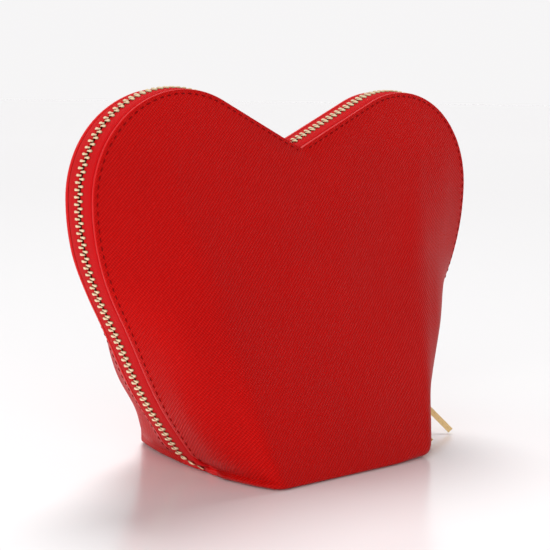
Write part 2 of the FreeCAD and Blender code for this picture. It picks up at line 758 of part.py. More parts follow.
def pull_place(ring_place, swing):
    return ring_place.multiply(FreeCAD.Placement(FreeCAD.Vector(0, -eye_offset, 0), FreeCAD.Rotation(UP, swing)))


def lowest_tip(place):
    """Height of the lowest corner at a pull's tip."""
    half_wide, half_thick = size("pull_width") / 2, size("pull_wall") / 2
    corners = [FreeCAD.Vector(sx * half_wide, -size("pull_length"), sz * half_thick)
               for sx in (-1, 1) for sz in (-1, 1)]
    return min(place.multVec(corner).z for corner in corners)


def swing_to_floor(ring_place):
    """The swing, in degrees, at which a pull's tip comes down to the floor."""
    low, high = 0.0, 90.0
    for _ in range(40):
        swing = (low + high) / 2
        if lowest_tip(pull_place(ring_place, swing)) > size("floor_gap"):
            low = swing
        else:
            high = swing
    return low


def add_slider(which, park, lift):
    """A slider with its bail, link and pull, parked on the right side's straight stretch."""
    x, z, slope = chain_place(tail_length + park)
    place = along_zip(x, 0.0, z, slope, 1)
    ring_place = link_place(place, lift)
    swing = swing_to_floor(ring_place)
    bar_place = pull_place(ring_place, swing)
    add_slider_body(which, place)
    add_bail(which, place)
    add_link(which, ring_place)
    add_pull(which, bar_place)
    turn_axis = bar_place.Rotation.multVec(UP)
    print(which, "slider at", place.Base, "slides along", place.Rotation.multVec(ALONG_X) * -1)
    print(which, "link turns at", ring_place.Base, "lifted", lift)
    print(which, "pull turns at", bar_place.Base, "about", turn_axis, "swung", round(swing, 3))


front_pieces = [
    add_shape("front_panel", front_panel_shape()),
    add_shape("front_stiffener", front_stiffener_shape()),
    add_shape("front_lining", front_lining_shape()),
    add_front_board(),
]
for piece in front_pieces:
    add_mirrored(piece, piece.Label.replace("front", "back"))
add_shape("front_zip_tape", front_tape_shape())
add_shape("front_tape_run", front_tape_run_shape())
add_shape("back_zip_tape", back_tape_shape())
add_shape("front_teeth", front_teeth_shape())
add_shape("front_teeth_run", front_teeth_run_shape())
add_shape("back_teeth", back_teeth_shape())
add_end_stop("right_end_stop", 1)
add_end_stop("left_end_stop", -1)
add_slider("lower", size("park_start"), size("lower_lift"))
add_slider("upper", upper_park, size("upper_lift"))
doc.recompute()

for item in doc.Objects:
    if "Invalid" in item.State or "Error" in item.State:
        raise RuntimeError(f"{item.Label} failed: {item.State}")
for node in nodes:
    if node.Shape.isNull() or not node.Shape.isValid():
        raise RuntimeError(f"{node.Label} has no valid shape")

os.makedirs("parts", exist_ok=True)
for node in nodes:
    node.Shape.exportStep(f"parts/{node.Label}.step")
    print(node.Label, len(node.Shape.Solids), "solids,", round(node.Shape.Volume, 1), "mm3")
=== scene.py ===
import math

import bmesh
import bpy
import numpy as np
from mathutils import Matrix, Vector


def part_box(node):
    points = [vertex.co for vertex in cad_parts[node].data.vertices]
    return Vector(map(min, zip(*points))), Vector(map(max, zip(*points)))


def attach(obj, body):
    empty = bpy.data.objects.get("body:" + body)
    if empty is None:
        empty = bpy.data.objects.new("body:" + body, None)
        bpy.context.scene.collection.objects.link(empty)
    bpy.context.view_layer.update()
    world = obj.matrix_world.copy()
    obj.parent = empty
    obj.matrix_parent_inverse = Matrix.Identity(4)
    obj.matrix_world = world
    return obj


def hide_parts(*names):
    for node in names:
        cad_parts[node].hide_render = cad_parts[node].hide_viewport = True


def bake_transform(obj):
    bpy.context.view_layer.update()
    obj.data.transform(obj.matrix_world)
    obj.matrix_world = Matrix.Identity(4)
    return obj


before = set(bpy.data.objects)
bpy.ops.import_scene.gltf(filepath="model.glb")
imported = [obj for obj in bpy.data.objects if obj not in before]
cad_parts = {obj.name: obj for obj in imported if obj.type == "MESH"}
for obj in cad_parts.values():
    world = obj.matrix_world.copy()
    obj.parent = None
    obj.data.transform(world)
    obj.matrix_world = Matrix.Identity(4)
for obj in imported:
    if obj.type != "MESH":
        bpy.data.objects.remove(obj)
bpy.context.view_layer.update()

# A red leather heart purse on a boxed base, with a gold two-way zip round its edge.
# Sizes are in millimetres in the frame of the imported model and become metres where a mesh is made.
# The front faces -Y. Each panel is worked out for its right front side and mirrored.
MM = 0.001

# The zip line, which is the outermost line of the teeth.
HALF_WIDTH = 105.0
WIDEST_HEIGHT = 114.6
LOBE_RADIUS = 44.7
CLEFT_HEIGHT = 135.3
SIDE_RADIUS = 89.0
SIDE_SLOPE = math.radians(59.5)
FOOT_HEIGHT = 10.0
TAIL_RADIUS = 20.0
TAIL_TURN = math.radians(48.0)

# The panels.
BASE_HALF_WIDTH = 42.23
BASE_HALF_DEPTH = 49.8
TOP_HALF_DEPTH = 10.2
UPRIGHT_BEND = 3.0
RIM_HALF_DEPTH = 9.6
RIDGE_SPREAD = 0.21
RIDGE_RADIUS = 4.5
SOFT_RADIUS = 40.0
SOFT_HEIGHT = 70.0
SIDE_BULGE = 6.0
BULGE_HEIGHT = 50.0
BULGE_FADE = 95.0
FOLD_RADIUS = 5.0
LEATHER_FOLD = 1.7
BASE_SIDE = 50.2
LEATHER_WALL = 1.3
LIP_INSET = 1.4
LIP_REACH = 8.2
SEAM_GAP = 0.1
CLOSED_HEIGHT = 2.4
OPEN_HEIGHT = 4.2

# The zip.
CHAIN_INSET = 1.4
CHAIN_STEP = 0.4
TOOTH_PITCH = 2.8


# ---------------------------------------------------------------- the form

def on_circle(centre, radius, angle):
    return np.array([centre[0] + radius * np.cos(angle), centre[1] + radius * np.sin(angle)])


SIDE_TURN = math.pi / 2 - SIDE_SLOPE
LOBE_CENTRE = (HALF_WIDTH - LOBE_RADIUS, WIDEST_HEIGHT)
SIDE_CENTRE = (HALF_WIDTH - SIDE_RADIUS, WIDEST_HEIGHT)
SIDE_END = on_circle(SIDE_CENTRE, SIDE_RADIUS, -SIDE_TURN)
FOOT = (SIDE_END[0] - (SIDE_END[1] - FOOT_HEIGHT) / math.tan(SIDE_SLOPE), FOOT_HEIGHT)
TAIL_CENTRE = on_circle(FOOT, -TAIL_RADIUS, -SIDE_TURN)
TAIL_ANGLE = -SIDE_TURN - TAIL_TURN
CLEFT_DROP = WIDEST_HEIGHT - CLEFT_HEIGHT
CLEFT_TO_LOBE = math.hypot(LOBE_CENTRE[0], CLEFT_DROP)
CLEFT_SLOPE = math.atan2(CLEFT_DROP, LOBE_CENTRE[0]) + math.asin(LOBE_RADIUS / CLEFT_TO_LOBE)
LOBE_SWEEP = math.pi / 2 + CLEFT_SLOPE
BELOW_ROWS, TAIL_ROWS = 8, 28


def outline(inset, below=BELOW_ROWS, tail=TAIL_ROWS, straight=40, side=17, lobe=46, cleft=22):
    """The right half of the zip line moved inwards, from the floor up to the cleft, as rows of x and z."""
    def arc(centre, radius, start, end, count):
        return on_circle(centre, radius - inset, np.linspace(start, end, count, endpoint=False)).T

    def line(start, end, count, whole=False):
        share = np.linspace(0.0, 1.0, count, endpoint=whole)[:, None]
        return np.asarray(start) * (1 - share) + np.asarray(end) * share

    tail_end = on_circle(TAIL_CENTRE, TAIL_RADIUS - inset, TAIL_ANGLE)
    foot = on_circle(TAIL_CENTRE, TAIL_RADIUS - inset, -SIDE_TURN)
    side_end = on_circle(SIDE_CENTRE, SIDE_RADIUS - inset, -SIDE_TURN)
    touch = on_circle(LOBE_CENTRE, LOBE_RADIUS - inset, LOBE_SWEEP)
    bottom = (0.0, CLEFT_HEIGHT - inset / math.cos(CLEFT_SLOPE))
    return np.vstack([
        line((tail_end[0], 0.0), tail_end, below),
        arc(TAIL_CENTRE, TAIL_RADIUS, TAIL_ANGLE, -SIDE_TURN, tail),
        line(foot, side_end, straight),
        arc(SIDE_CENTRE, SIDE_RADIUS, -SIDE_TURN, 0.0, side),
        arc(LOBE_CENTRE, LOBE_RADIUS, 0.0, LOBE_SWEEP, lobe),
        line(touch, bottom, cleft, whole=True),
    ])


def along(points):
    """Lengths along a line of points, from its first."""
    steps = np.linalg.norm(np.diff(points, axis=0), axis=1)
    return np.concatenate([[0.0], np.cumsum(steps)])


def smooth(share):
    """A share from 0 to 1 that starts and ends gently."""
    share = np.clip(share, 0.0, 1.0)
    return share * share * (3.0 - 2.0 * share)


def edge_width_at(z):
    """Half the width of the leather's edge at heights. Above the widest place it stays at the widest."""
    tail_radius, side_radius = TAIL_RADIUS - LIP_INSET, SIDE_RADIUS - LIP_INSET
    tail_end = on_circle(TAIL_CENTRE, tail_radius, TAIL_ANGLE)
    foot = on_circle(TAIL_CENTRE, tail_radius, -SIDE_TURN)
    side_end = on_circle(SIDE_CENTRE, side_radius, -SIDE_TURN)
    side = SIDE_CENTRE[0] + np.sqrt(np.maximum(side_radius ** 2 - (WIDEST_HEIGHT - z) ** 2, 0.0))
    slope = foot[0] + (z - foot[1]) / math.tan(SIDE_SLOPE)
    tail = TAIL_CENTRE[0] + np.sqrt(np.maximum(tail_radius ** 2 - (TAIL_CENTRE[1] - z) ** 2, 0.0))
    width = np.select([z >= WIDEST_HEIGHT, z >= side_end[1], z >= foot[1], z >= tail_end[1]],
                      [HALF_WIDTH - LIP_INSET, side, slope, tail], tail_end[0])
    return np.maximum(width, BASE_SIDE)


def half_depth_at(z):
    """Half the depth at heights: it leans in from the base and stands upright above the cleft."""
    lean = (BASE_HALF_DEPTH - TOP_HALF_DEPTH) / CLEFT_HEIGHT
    excess = BASE_HALF_DEPTH - TOP_HALF_DEPTH - lean * z
    return TOP_HALF_DEPTH + (excess + np.hypot(excess, UPRIGHT_BEND)) / 2


def bulge_at(z):
    """How far the sides bulge out at heights."""
    flattest = 0.05
    rising = np.sqrt(np.maximum(0.0, 1.0 - ((BULGE_HEIGHT - z) / BULGE_HEIGHT) ** 2))
    fading = np.cos(math.pi / 2 * np.clip((z - BULGE_HEIGHT) / (BULGE_FADE - BULGE_HEIGHT), 0.0, 1.0)) ** 2
    return SIDE_BULGE * np.maximum(flattest, np.where(z < BULGE_HEIGHT, rising, fading))


def face_y(x, z, offset):
    """Depth of the front's face at places of the right half, moved inwards by an offset."""
    ridge_x, ridge_y = BASE_HALF_WIDTH + RIDGE_SPREAD * z, -half_depth_at(z)
    rim_x, rim_y = edge_width_at(z), np.full_like(z, -RIM_HALF_DEPTH)
    run, rise = rim_x - ridge_x, rim_y - ridge_y
    arc_share, steepest = 0.75, 0.35
    out = np.minimum(bulge_at(z) / arc_share, steepest * rise) / np.hypot(run, rise)
    swell_x, swell_y = (ridge_x + rim_x) / 2 + rise * out, (ridge_y + rim_y) / 2 - run * out
    first = np.arctan2(swell_y - ridge_y, swell_x - ridge_x)
    second = np.arctan2(rim_y - swell_y, rim_x - swell_x)

    def inward(px, py, angle, other):
        middle, reach = (angle + other) / 2, offset / np.cos((other - angle) / 2)
        return px - np.sin(middle) * reach, py + np.cos(middle) * reach

    ridge_x, ridge_y = inward(ridge_x, ridge_y, 0.0, first)
    swell_x, swell_y = inward(swell_x, swell_y, first, second)
    rim_x, rim_y = inward(rim_x, rim_y, second, second)
    lower, upper = np.hypot(swell_x - ridge_x, swell_y - ridge_y), np.hypot(rim_x - swell_x, rim_y - swell_y)
    most, least = 0.45, 0.9
    fade = np.clip(z / SOFT_HEIGHT, 0.0, 1.0)
    radius = np.maximum(RIDGE_RADIUS + (SOFT_RADIUS - RIDGE_RADIUS) * fade ** 2 - offset, least)
    trim = np.minimum(radius * np.tan(first / 2), most * np.minimum(lower, ridge_x))
    radius = trim / np.tan(first / 2)
    begin, end = ridge_x - trim, ridge_x + trim * np.cos(first)
    swell_trim = most * np.minimum(lower, upper)
    swell_radius = swell_trim / np.tan((second - first) / 2)
    begin_x, begin_y = swell_x - swell_trim * np.cos(first), swell_y - swell_trim * np.sin(first)
    end_x = swell_x + swell_trim * np.cos(second)
    centre_x, centre_y = begin_x - swell_radius * np.sin(first), begin_y + swell_radius * np.cos(first)
    return np.select(
        [x < begin, x < end, x < begin_x, x < end_x],
        [ridge_y,
         ridge_y + radius - np.sqrt(np.maximum(radius ** 2 - (x - begin) ** 2, 0.0)),
         ridge_y + (x - ridge_x) * np.tan(first),
         centre_y - np.sqrt(np.maximum(swell_radius ** 2 - (x - centre_x) ** 2, 0.0))],
        rim_y + (x - rim_x) * np.tan(second))


def fold_offset(z, wall, fold):
    """How far the fold round the base draws a layer in at heights."""
    inner = (fold - wall) ** 2 - (fold - z) ** 2
    return np.where(z >= fold, wall, fold - np.sqrt(np.maximum(inner, 0.0)))


# How the rows of a panel are laid out. Low rows are level, the others fan out to the edge.
LEVEL_ROWS_TOP = 8.0
FAN_POWER = 0.85
ROW_SAMPLES = 500
FOLD_FROM, FOLD_RUN = 0.45, 0.4
PINCH_WIDTH = 15.0
PINCH = 0.7
SLOPE_STEP = 0.01
FLAT_STRETCH = 1.05
RIM_STEPS = np.array([0.0, 0.5, 1.0, 1.5, 2.0, 2.4, 2.8, 3.2, 3.6, 4.0, 4.6, 5.4, 6.6, 8.2, 10.2])
INNER_COLUMNS = 46


def panel_rows(edge, wall, middle_fold=FOLD_RADIUS, side_fold=FOLD_RADIUS):
    """The right half of a panel's layer: rows of points from the middle line to an edge line, and flat coordinates."""
    rim = outline(edge)
    base_side = np.maximum(rim[:, 0], BASE_SIDE - edge + LIP_INSET)
    rim[:, 0] = np.where(rim[:, 1] < LEVEL_ROWS_TOP, base_side, rim[:, 0])
    length = along(rim)
    rising = np.where(length < length[-1] / 2, rim[:, 1], np.inf)
    level = np.searchsorted(rising, LEVEL_ROWS_TOP)
    share = np.clip((length - length[level]) / (length[-1] - length[level]), 0.0, 1.0)
    middle = np.where(np.arange(len(rim)) <= level, rim[:, 1],
                      rim[level, 1] + (rim[-1, 1] - rim[level, 1]) * share ** FAN_POWER)
    rows, flat = [], []
    t = np.linspace(0.0, 1.0, ROW_SAMPLES)
    fold = middle_fold + (side_fold - middle_fold) * smooth((t - FOLD_FROM) / FOLD_RUN)
    for (edge_x, edge_z), middle_z in zip(rim, middle):
        z = middle_z + (edge_z - middle_z) * t ** 2
        z = np.where(z < fold, wall + z * (fold - wall) / fold, z)
        offset = fold_offset(z, wall, fold)
        edge_x = edge_x - (offset[-1] - wall)
        x = edge_x * t
        y = face_y(x, z, offset)
        pinch = smooth(1.0 - np.hypot(x - edge_x, z - z[-1]) / PINCH_WIDTH)
        y = y + PINCH * np.maximum(0.0, wall - RIM_HALF_DEPTH - y[-1]) * pinch
        points = np.column_stack([x, y, z])
        slope = (face_y(x + SLOPE_STEP, z, offset) - face_y(x, z, offset)) / SLOPE_STEP
        spread = np.concatenate([[0.0], np.cumsum(np.sqrt(1.0 + slope[:-1] ** 2) * np.diff(x))])
        s = along(points)
        scale = min(1.0, s[-1] / (2.0 * RIM_STEPS[-1]))
        near = s[-1] - RIM_STEPS[::-1] * scale
        far = np.linspace(0.0, near[0], INNER_COLUMNS, endpoint=False)
        wanted = np.concatenate([far, near])
        rows.append(np.column_stack([np.interp(wanted, s, points[:, k]) for k in range(3)]))
        flat.append(np.column_stack([np.interp(wanted, s, spread), np.interp(wanted, s, z) * FLAT_STRETCH]))
    return np.array(rows), np.array(flat)


def grid_normals(rows):
    """Outward normals of a grid of points whose rows run to the right and follow each other upwards."""
    across = np.gradient(rows, axis=1)
    up = np.gradient(rows, axis=0)
    normal = np.cross(across, up)
    length = np.linalg.norm(normal, axis=2, keepdims=True)
    return normal / np.maximum(length, 1e-9)


def distance_to(points, line):
    """Distance of each point to the nearest vertex of a dense line."""
    flat = points.reshape(-1, 3)
    best = np.full(len(flat), np.inf)
    chunk = 64
    for k in range(0, len(line), chunk):
        gap = flat[:, None, :] - line[None, k:k + chunk, :]
        best = np.minimum(best, np.sqrt((gap ** 2).sum(2)).min(1))
    return best.reshape(points.shape[:-1])


def densified(line, step):
    """The line again, with points about a step apart."""
    s = along(line)
    wanted = np.linspace(0.0, s[-1], int(s[-1] / step) + 2)
    return np.column_stack([np.interp(wanted, s, line[:, k]) for k in range(line.shape[1])])


# How the sides have settled: the left one bows out above the base, with its back flatter and the zip's tail drawn
# to the front, and the right one stands further out at its low corners. FROM is where a change begins along its axis,
# and FADE how much further on it is complete.
BOW, BOW_HEIGHT, BOW_SPREAD, BOW_FADE = 3.2, 34.0, 25.5, 12.0
TAIL_TOP, TAIL_LOW, TAIL_MIDDLE, TAIL_WIDTH = 9.0, 2.75, -4.0, 26.0
TAIL_FROM, TAIL_FADE = 28.0, 14.0
TAIL_DRAW, DRAW_POWER = 10.0, 2.4
ZIP_OUT, OUT_POWER = 3.3, 1.5
SIDE_FROM, SIDE_FADE = 22.0, 20.0
BACK_FLAT, BACK_HEIGHT, BACK_SPREAD, BACK_FROM, BACK_FADE = 3.1, 24.0, 13.0, 7.0, 10.0
BACK_DEEP, DEEP_FROM, DEEP_FADE, DEEP_HEIGHT, DEEP_RISE = 1.4, 3.0, 6.6, 75.0, 20.0
RIGHT_OUT, RIGHT_TOP, RIGHT_FADE = 2.85, 62.0, 36.0


def ridge_share(x, z):
    """How far places are from the ridge (0) to the edge (1)."""
    ridge = BASE_HALF_WIDTH + RIDGE_SPREAD * z
    return smooth((x - ridge) / np.maximum(edge_width_at(z) - ridge, 1.0))


def settled(points, zip_out):
    """Points of the left side moved from the plain mirror image to where the side has settled."""
    x, y, z = -points[..., 0], points[..., 1], points[..., 2]
    share = ridge_share(x, z)
    bow = BOW * np.exp(-((z - BOW_HEIGHT) / BOW_SPREAD) ** 2) * share * smooth(z / BOW_FADE)
    low = np.clip((TAIL_TOP - z) / (TAIL_TOP - TAIL_LOW), 0.0, 1.0)
    near = smooth(1.0 - np.abs(y - TAIL_MIDDLE) / TAIL_WIDTH) * smooth((x - TAIL_FROM) / TAIL_FADE)
    out = x + bow * math.sin(SIDE_SLOPE) + zip_out * low ** OUT_POWER * near
    flat = BACK_FLAT * np.exp(-((z - BACK_HEIGHT) / BACK_SPREAD) ** 2) * smooth((x - SIDE_FROM) / SIDE_FADE)
    out = out - flat * smooth((y - BACK_FROM) / BACK_FADE)
    deep = BACK_DEEP * smooth((y - DEEP_FROM) / DEEP_FADE) * share * smooth((z - DEEP_HEIGHT) / DEEP_RISE)
    depth = y + deep - TAIL_DRAW * low ** DRAW_POWER * near
    return np.stack([-out, depth, z - bow * math.cos(SIDE_SLOPE)], axis=-1)


def stood_out(points):
    """Points of the right side moved from the plain form to where the side has settled."""
    x, y, z = points[..., 0], points[..., 1], points[..., 2]
    low = RIGHT_OUT * smooth((RIGHT_TOP - z) / RIGHT_FADE)
    out = low * smooth((x - SIDE_FROM) / SIDE_FADE) * (1.0 - ridge_share(x, z))
    return np.stack([x + out, y, z], axis=-1)


def placed(points, mirror, side, zip_out=0.0):
    """Points worked out for the right front, put on the right (1) or left (-1) and the front (-1) or back (1)."""
    moved = points * np.array([mirror, -side, 1.0])
    return settled(moved, zip_out) if mirror < 0 else stood_out(moved)


# ---------------------------------------------------------------- meshes

# Points nearer than these, in metres, are joined: on sheets, and on stitches and teeth.
SHEET_MERGE = 2e-5
FINE_MERGE = 1e-7


def half_name(side):
    return "front" if side < 0 else "back"


def new_object(name, points, faces, uv=None, marks=None):
    """A mesh object from points in millimetres. uv is one pair per point, marks one material number per face."""
    mesh = bpy.data.meshes.new(name)
    mesh.from_pydata((np.asarray(points) * MM).tolist(), [], [list(map(int, f)) for f in faces])
    if uv is not None:
        loops = np.zeros(len(mesh.loops), np.int32)
        mesh.loops.foreach_get("vertex_index", loops)
        layer = mesh.uv_layers.new(name="flat")
        layer.data.foreach_set("uv", (np.asarray(uv)[loops] * MM).astype(np.float32).ravel())
    if marks is not None:
        mesh.polygons.foreach_set("material_index", np.asarray(marks, np.int32))
    mesh.polygons.foreach_set("use_smooth", np.ones(len(mesh.polygons), bool))
    mesh.update()
    piece = bpy.data.objects.new(name, mesh)
    bpy.context.scene.collection.objects.link(piece)
    return piece


def grid_faces(rows, columns):
    faces = []
    for r in range(rows - 1):
        for c in range(columns - 1):
            a, b = r * columns + c, r * columns + c + 1
            faces.append((a, b, b + columns, a + columns))
    return faces


def tube_faces(rings, sides, start=0, capped=True):
    """Faces of a tube of rings of points, counted from a start, with both ends closed where it is capped."""
    faces = []
    for ring in range(rings - 1):
        for k in range(sides):
            a, b = start + ring * sides + k, start + ring * sides + (k + 1) % sides
            faces.append((a, b, b + sides, a + sides))
    if capped:
        faces.append([start + k for k in range(sides)][::-1])
        faces.append([start + (rings - 1) * sides + k for k in range(sides)])
    return faces


def tidy(piece, merge=SHEET_MERGE):
    """Joins points that meet and turns all faces outwards."""
    work = bmesh.new()
    work.from_mesh(piece.data)
    bmesh.ops.remove_doubles(work, verts=work.verts, dist=merge)
    bmesh.ops.dissolve_degenerate(work, edges=work.edges, dist=merge / 4)
    bmesh.ops.recalc_face_normals(work, faces=work.faces)
    work.to_mesh(piece.data)
    work.free()
    return piece


def both_halves(grid, uv, side):
    """A right half's grid and its left counterpart on the front (-1) or back (1), as one grid."""
    left, right = placed(grid, -1.0, side)[:, :0:-1], placed(grid, 1.0, side)
    left_uv = uv[:, :0:-1] * np.array([-1.0, 1.0])
    return np.concatenate([left, right], axis=1), np.concatenate([left_uv, uv], axis=1)


def dress(piece, material, body=None, replaces=(), bends=False):
    """Gives a piece its material, hides the nodes it replaces, and either fixes its place in the world (bends) or puts
    it under the body it moves with.
    """
    materials = material if isinstance(material, (list, tuple)) else [material]
    for item in materials:
        piece.data.materials.append(item)
    if replaces:
        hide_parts(*replaces)
    if bends:
        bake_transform(piece)
    else:
        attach(piece, body)


# ---------------------------------------------------------------- materials

def srgb(red, green, blue):
    """A colour written from 0 to 255 as the linear values of a socket."""
    def linear(c):
        c = c / 255.0
        return c / 12.92 if c <= 0.04045 else ((c + 0.055) / 1.055) ** 2.4
    return (linear(red), linear(green), linear(blue), 1.0)


class Nodes:
    """A short way to write a material's node tree."""

    def __init__(self, name):
        self.material = bpy.data.materials.new(name)
        self.material.use_nodes = True
        self.tree = self.material.node_tree
        self.shader = next(n for n in self.tree.nodes if n.type == "BSDF_PRINCIPLED")

    def add(self, kind, inputs=None, **settings):
        node = self.tree.nodes.new(kind)
        for key, value in settings.items():
            setattr(node, key, value)
        for key, value in (inputs or {}).items():
            self.feed(node.inputs[key], value)
        return node

    def feed(self, socket, value):
        if isinstance(value, bpy.types.NodeSocket):
            self.tree.links.new(value, socket)
        else:
            socket.default_value = value

    def math(self, operation, first, second=0.0):
        node = self.add("ShaderNodeMath", operation=operation)
        self.feed(node.inputs[0], first)
        self.feed(node.inputs[1], second)
        return node.outputs[0]

    def ramp(self, value, low, high):
        node = self.add("ShaderNodeMapRange", {"Value": value, "To Min": low, "To Max": high})
        return node.outputs[0]

    def colour(self, share, first, second):
        node = self.add("ShaderNodeMix", data_type="RGBA")
        share_socket, first_colour, second_colour, colour_out = 0, 6, 7, 2
        self.feed(node.inputs[share_socket], share)
        self.feed(node.inputs[first_colour], first)
        self.feed(node.inputs[second_colour], second)
        return node.outputs[colour_out]

    def flat(self):
        """Places on the piece laid flat."""
        return self.add("ShaderNodeUVMap", uv_map="flat").outputs[0]

    def solid(self):
        """Places in the piece's own space."""
        return self.add("ShaderNodeTexCoord").outputs["Object"]

    def bands(self, vector, angle, period, distortion=0.0):
        """Parallel bands across a direction, a period of metres apart, from 0 to 1."""
        turned = self.add("ShaderNodeMapping", {"Vector": vector, "Rotation": (0.0, 0.0, angle)}).outputs[0]
        bands_per_unit = 0.31416
        return self.add("ShaderNodeTexWave", {"Vector": turned, "Scale": bands_per_unit / period,
                                              "Distortion": distortion, "Detail": 2.0, "Detail Scale": 1.4},
                        wave_type="BANDS", bands_direction="X").outputs["Fac"]

    def noise(self, vector, scale, detail=3.0):
        return self.add("ShaderNodeTexNoise", {"Vector": vector, "Scale": scale, "Detail": detail}).outputs["Fac"]

    def bump(self, height, strength, distance):
        node = self.add("ShaderNodeBump", {"Height": height, "Strength": strength, "Distance": distance})
        self.feed(self.shader.inputs["Normal"], node.outputs[0])

    def set(self, **values):
        for key, value in values.items():
            self.feed(self.shader.inputs[key.replace("_", " ")], value)
        return self.material


def leather_material():
    """Cross-hatched leather: close slanting ridges with finer lines across them. Its colour is lighter on the ridges
    as a painted highlight and darker in the hollows as painted shade, over a random tone.
    """
    n = Nodes("red_leather")
    flat = n.flat()
    slant_angle, slant_period, cross_angle, cross_period = math.radians(43), 0.0012, math.radians(-47), 0.00092
    slant = n.math("POWER", n.bands(flat, slant_angle, slant_period, 1.5), 2.2)
    cross = n.bands(flat, cross_angle, cross_period, 1.2)
    turned = n.add("ShaderNodeMapping", {"Vector": flat, "Rotation": (0.0, 0.0, slant_angle),
                                         "Scale": (5.0, 1.0, 1.0)}).outputs[0]
    streaks = n.ramp(n.noise(turned, 150.0, 3.0), -0.2, 1.9)
    pores = n.noise(flat, 2600.0, 2.0)
    clouds = n.noise(flat, 22.0, 3.0)
    ridges = n.math("MULTIPLY", n.math("MULTIPLY", slant, streaks), 0.6)
    hatch = n.math("ADD", ridges, n.math("MULTIPLY", cross, 0.3))
    height = n.math("ADD", hatch, n.math("MULTIPLY", pores, 0.12))
    # Painted light: the hatch makes the colour lighter on the ridges as a painted highlight and darker in the hollows
    # as painted shade; the clouds add a random tone.
    hatch_painted_light_and_tone = n.math("ADD", n.math("MULTIPLY", hatch, 0.85), n.math("MULTIPLY", clouds, 0.25))
    n.bump(height, 1.0, 0.00034)
    return n.set(Base_Color=n.colour(hatch_painted_light_and_tone, srgb(162, 1, 1), srgb(222, 16, 11)), Roughness=n.ramp(clouds, 0.36, 0.46),
                 Specular_IOR_Level=0.09, Sheen_Weight=0.035, Sheen_Roughness=0.4)


def edge_material():
    """The leather's turned edge: smooth and a little glossier."""
    n = Nodes("leather_edge")
    grain = n.noise(n.flat(), 900.0, 3.0)
    n.bump(grain, 0.25, 0.0001)
    return n.set(Base_Color=n.colour(grain, srgb(196, 8, 10), srgb(216, 16, 18)), Roughness=0.36,
                 Specular_IOR_Level=0.25)


def thread_material():
    n = Nodes("red_thread")
    where = n.solid()
    twist = n.bands(where, math.radians(35), 0.0004, 0.3)
    n.bump(twist, 0.4, 0.0001)
    return n.set(Base_Color=n.colour(twist, srgb(104, 0, 2), srgb(140, 3, 4)), Roughness=0.6,
                 Specular_IOR_Level=0.1)


def tape_material():
    """Woven zip tape: a fine herringbone."""
    n = Nodes("red_zip_tape")
    flat = n.flat()
    twill, twill_period = math.radians(45), 0.00055
    one = n.bands(flat, twill, twill_period, 0.2)
    other = n.bands(flat, -twill, twill_period, 0.2)
    side = n.bands(flat, 0.0, 0.0024)
    weave = n.colour(n.math("GREATER_THAN", side, 0.5), one, other)
    fuzz = n.noise(flat, 1500.0, 2.0)
    n.bump(n.math("ADD", weave, n.math("MULTIPLY", fuzz, 0.4)), 0.6, 0.0002)
    return n.set(Base_Color=n.colour(weave, srgb(182, 6, 10), srgb(214, 16, 22)), Roughness=0.75,
                 Specular_IOR_Level=0.08, Sheen_Weight=0.04, Sheen_Roughness=0.5)


def teeth_material():
    """The teeth's gold: a painted pale highlight on their outer parts, where it is also smoother, and painted dark
    shade low between the teeth, where it is rougher. The flat map's second coordinate is the height out of the tape."""
    n = Nodes("teeth_gold")
    height = n.add("ShaderNodeSeparateXYZ", {"Vector": n.flat()}).outputs[1]
    # Painted light: the colour runs from painted dark shade near the tape to a painted pale highlight on the teeth's
    # outer parts, varied by a random rub.
    painted_light_by_height = n.add("ShaderNodeMapRange", {"Value": height, "From Min": 0.0003, "From Max": 0.0011}).outputs[0]
    rub = n.noise(n.solid(), 900.0, 3.0)
    share = n.math("MULTIPLY", painted_light_by_height, n.ramp(rub, 0.75, 1.2))
    n.bump(rub, 0.05, 0.00005)
    # The base colour mixes painted shade low on the teeth with a painted highlight high on them.
    return n.set(Base_Color=n.colour(share, srgb(92, 58, 30), srgb(252, 228, 186)), Metallic=1.0,
                 Roughness=n.ramp(share, 0.42, 0.2))


def gold_material():
    n = Nodes("pale_gold")
    where = n.solid()
    rub = n.noise(where, 700.0, 3.0)
    n.bump(n.noise(where, 1600.0, 2.0), 0.05, 0.00005)
    return n.set(Base_Color=n.colour(rub, srgb(204, 168, 112), srgb(234, 204, 152)), Metallic=1.0,
                 Roughness=n.ramp(rub, 0.22, 0.36))


def lining_material():
    n = Nodes("red_lining")
    flat = n.flat()
    thread_period = 0.0006
    weft = n.bands(flat, 0.0, thread_period, 0.3)
    warp = n.bands(flat, math.radians(90), thread_period, 0.3)
    weave = n.math("MULTIPLY", weft, warp)
    n.bump(weave, 0.4, 0.00015)
    return n.set(Base_Color=n.colour(weave, srgb(122, 10, 16), srgb(158, 20, 26)), Roughness=0.55,
                 Sheen_Weight=0.3, Sheen_Roughness=0.4)


def card_material():
    n = Nodes("grey_card")
    where = n.solid()
    fibre = n.noise(where, 900.0, 5.0)
    n.bump(fibre, 0.3, 0.0001)
    return n.set(Base_Color=n.colour(fibre, srgb(150, 132, 108), srgb(184, 168, 144)), Roughness=0.9)


LEATHER, EDGE, THREAD = leather_material(), edge_material(), thread_material()
TAPE, GOLD, TEETH = tape_material(), gold_material(), teeth_material()
LINING, CARD = lining_material(), card_material()


# ---------------------------------------------------------------- leather panels

# The stitches: their distance from the edge, where they begin, and each one's size.
STITCH_LINE = 1.7
STITCH_FOOT = 6.0
STITCH_PITCH = 3.4
STITCH_LENGTH = 2.3
THREAD_RADIUS = 0.25
